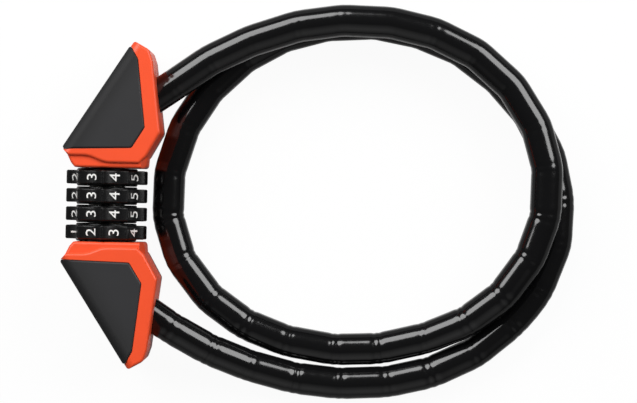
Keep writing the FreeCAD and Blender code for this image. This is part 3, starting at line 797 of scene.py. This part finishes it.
class CABLELOCK_OT_dials(bpy.types.Operator):
    """Finishes the dials and prints their numerals"""
    bl_idname = "cable_lock.dials"
    bl_label = "Dials"

    def execute(self, context):
        sizes = context.scene.cable_lock_sizes
        colours = context.scene.cable_lock_colours
        paint = pad_printed_paint("white_pad_printing_ink", colours.numeral)
        flat = [numeral(str(k), sizes) for k in range(FACETS)]
        for dial, on_top in SHOWN_ON_TOP.items():
            numerals = []
            for k in range(FACETS):
                mesh = flat[(on_top + k) % FACETS].data.copy()
                lay_on_facet(mesh, dial, FACET_TURN + 2 * math.pi * k / FACETS, sizes)
                numerals.append(show(mesh, f"{dial}_numeral_{k}", paint))
            deselect_all()
            for piece in numerals:
                piece.select_set(True)
            bpy.context.view_layer.objects.active = numerals[0]
            bpy.ops.object.join()
            numerals[0].name = dial + "_numerals"
            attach(numerals[0], dial)
        for piece in flat:
            bpy.data.objects.remove(piece)
        black = moulded_abs(
            "black_moulded_abs", colours.dial, roughness=0.28, grain=0.6 * MM, edge=0.45 * MM)
        paint_nodes(SHOWN_ON_TOP, black)
        return {"FINISHED"}


# Cases and mechanism

class CABLELOCK_OT_cases(bpy.types.Operator):
    """Finishes the moulded case halves, their soft-touch covers and their screws"""
    bl_idname = "cable_lock.cases"
    bl_label = "Cases"

    def execute(self, context):
        colours = context.scene.cable_lock_colours
        places = [f"{case}_{half}" for case in ("upper", "lower") for half in ("front", "rear")]
        orange = moulded_abs(
            "orange_moulded_abs", colours.case, roughness=0.40, grain=0.7 * MM, edge=0.25 * MM)
        paint_nodes([p + "_frame" for p in places], orange)
        rubber = soft_touch_rubber("grey_soft_touch_rubber", colours.cover)
        paint_nodes([p + "_cover" for p in places], rubber)
        zinc_black = plain_metal(
            "black_zinc_plated_steel", linear("6E6F73"), roughness=0.42, patch=1.5 * MM,
            relief=0.01 * MM)
        paint_nodes(["upper_case_screws", "lower_case_screws"], zinc_black)
        return {"FINISHED"}


class CABLELOCK_OT_mechanism(bpy.types.Operator):
    """Finishes the carriers, barrel, locking pin, code rings, spring and ferrules"""
    bl_idname = "cable_lock.mechanism"
    bl_label = "Mechanism"

    def execute(self, context):
        axis = dial_axis()
        cast = plain_metal(
            "die_cast_zinc", linear("A6A8AC"), roughness=0.50, patch=3 * MM, relief=0.04 * MM)
        paint_nodes(["barrel_block", "bolt_block"], cast)
        steel = turned_metal("turned_plated_steel", linear("C4C6C9"), 0.22, axis_place=axis)
        paint_nodes(["barrel_tube", "barrel_end_ring", "locking_pin"], steel)
        brass = turned_metal("turned_brass", linear("D2B26A"), 0.26, axis_place=axis)
        paint_nodes([f"code_ring_{k}" for k in range(1, 5)], brass)
        blued = plain_metal(
            "blued_spring_steel", linear("5C6472"), roughness=0.28, patch=6 * MM,
            relief=0.005 * MM)
        paint_nodes(["click_spring"], blued)
        drawn = plain_metal(
            "drawn_steel_pin", linear("B8BABD"), roughness=0.30, patch=1.2 * MM,
            relief=0.006 * MM)
        pins = ["barrel_cross_pin", "bolt_cross_pin", "upper_ferrule_pin", "lower_ferrule_pin"]
        paint_nodes(pins + ["upper_ferrule", "lower_ferrule"], drawn)
        return {"FINISHED"}


# Stage

def soft_light(name, azimuth, zenith, size, power, spread):
    """An oval soft light that faces the loop's middle."""
    a, z = math.radians(azimuth), math.radians(zenith)
    out = Vector((math.cos(a) * math.sin(z), math.sin(a) * math.sin(z), math.cos(z)))
    light = bpy.data.lights.new(name, "AREA")
    light.shape = "ELLIPSE"
    light.size, light.size_y = size
    light.energy = power
    light.spread = math.radians(spread)
    lamp = bpy.data.objects.new(name, light)
    bpy.context.scene.collection.objects.link(lamp)
    lamp.location = LOOP_MIDDLE + out * LAMP_DISTANCE
    lamp.rotation_euler = out.to_track_quat("Z", "Y").to_euler()


def pale_floor():
    """Matt background paper: white to the camera, with the faint shadow that it keeps. The
    lock mirrors it bright right below itself, dimmer in its own shadow, and dim towards the
    far dark room."""
    material, tree = new_material("matt_background_paper")
    path = add_node(tree, "ShaderNodeLightPath")
    seen = path.outputs["Is Camera Ray"]
    mirrored = add_node(
        tree, "ShaderNodeMath",
        links={0: path.outputs["Is Glossy Ray"], 1: path.outputs["Is Transmission Ray"]},
        operation="MAXIMUM")
    seen_share = add_node(
        tree, "ShaderNodeMath", {1: SEEN_GLOW}, {0: seen}, operation="MULTIPLY")
    share = add_node(
        tree, "ShaderNodeMath", {1: MIRRORED_GLOW},
        {0: mirrored.outputs[0], 2: seen_share.outputs[0]}, operation="MULTIPLY_ADD")
    slant = add_node(tree, "ShaderNodeLayerWeight", {"Blend": 0.5})
    fading = add_node(
        tree, "ShaderNodeMapRange",
        {"From Min": 0.0, "From Max": FADED_SLANT, "To Min": NEAR_PAPER, "To Max": FAR_PAPER},
        {"Value": slant.outputs["Facing"]}, interpolation_type="SMOOTHSTEP")
    strength = add_node(
        tree, "ShaderNodeMath", links={0: mirrored.outputs[0], 1: fading.outputs[0], 2: seen},
        operation="MULTIPLY_ADD")
    tone = add_node(
        tree, "ShaderNodeMath", {1: PAPER_TONE}, {0: strength.outputs[0]}, operation="MAXIMUM")
    paper = add_node(tree, "ShaderNodeBsdfDiffuse", links={"Color": tone.outputs[0]})
    glow = add_node(tree, "ShaderNodeEmission", links={"Strength": strength.outputs[0]})
    shader = add_node(
        tree, "ShaderNodeMixShader",
        links={0: share.outputs[0], 1: paper.outputs[0], 2: glow.outputs[0]})
    add_node(tree, "ShaderNodeOutputMaterial", links={"Surface": shader.outputs[0]})
    return material


def dim_room():
    """A dim even room, which the camera sees as the same white as the floor."""
    world = bpy.data.worlds.new("dim_room")
    world.use_nodes = True
    tree = world.node_tree
    path = add_node(tree, "ShaderNodeLightPath")
    strength = add_node(
        tree, "ShaderNodeMath", {1: 1.0 - ROOM_LIGHT, 2: ROOM_LIGHT},
        {0: path.outputs["Is Camera Ray"]}, operation="MULTIPLY_ADD")
    back = tree.nodes["Background"]
    back.inputs["Color"].default_value = (1, 1, 1, 1)
    tree.links.new(strength.outputs[0], back.inputs["Strength"])
    return world


class CABLELOCK_OT_stage(bpy.types.Operator):
    """Sets up the floor, the soft lights and the camera"""
    bl_idname = "cable_lock.stage"
    bl_label = "Stage"

    def execute(self, context):
        deselect_all()
        bpy.ops.mesh.primitive_plane_add(size=FLOOR_SIZE, location=(0, 0, 0))
        floor = bpy.context.object
        floor.name = "floor"
        floor.data.materials.append(pale_floor())
        for name, values in LAMPS.items():
            soft_light(name, *values)
        context.scene.world = dim_room()
        context.scene.view_settings.view_transform = "Standard"
        camera = bpy.data.cameras.new("camera")
        camera.lens = CAMERA_LENS
        camera.sensor_width = CAMERA_SENSOR
        holder = bpy.data.objects.new("camera", camera)
        context.scene.collection.objects.link(holder)
        holder.location = CAMERA_PLACE
        holder.rotation_euler = (0, 0, CAMERA_TURN)
        context.scene.camera = holder
        return {"FINISHED"}


STEPS = (
    CABLELOCK_OT_stage, CABLELOCK_OT_cable, CABLELOCK_OT_dials, CABLELOCK_OT_cases,
    CABLELOCK_OT_mechanism,
)


class CABLELOCK_PT_panel(bpy.types.Panel):
    """Lists the steps and the values of the cable lock"""
    bl_idname = "CABLELOCK_PT_panel"
    bl_label = "Cable lock"
    bl_space_type = "VIEW_3D"
    bl_region_type = "UI"
    bl_category = "Cable lock"

    def draw(self, context):
        for group in (context.scene.cable_lock_sizes, context.scene.cable_lock_colours):
            for name in group.__annotations__:
                self.layout.prop(group, name)
        for step in STEPS:
            self.layout.operator(step.bl_idname)


CLASSES = (CableLockSizes, CableLockColours, *STEPS, CABLELOCK_PT_panel)


def register():
    for made in CLASSES:
        bpy.utils.register_class(made)
    bpy.types.Scene.cable_lock_sizes = bpy.props.PointerProperty(type=CableLockSizes)
    bpy.types.Scene.cable_lock_colours = bpy.props.PointerProperty(type=CableLockColours)


def unregister():
    del bpy.types.Scene.cable_lock_colours
    del bpy.types.Scene.cable_lock_sizes
    for made in reversed(CLASSES):
        bpy.utils.unregister_class(made)


def main():
    register()
    bpy.ops.cable_lock.stage()
    bpy.ops.cable_lock.cable()
    bpy.ops.cable_lock.dials()
    bpy.ops.cable_lock.cases()
    bpy.ops.cable_lock.mechanism()


if __name__ == "__main__":
    main()
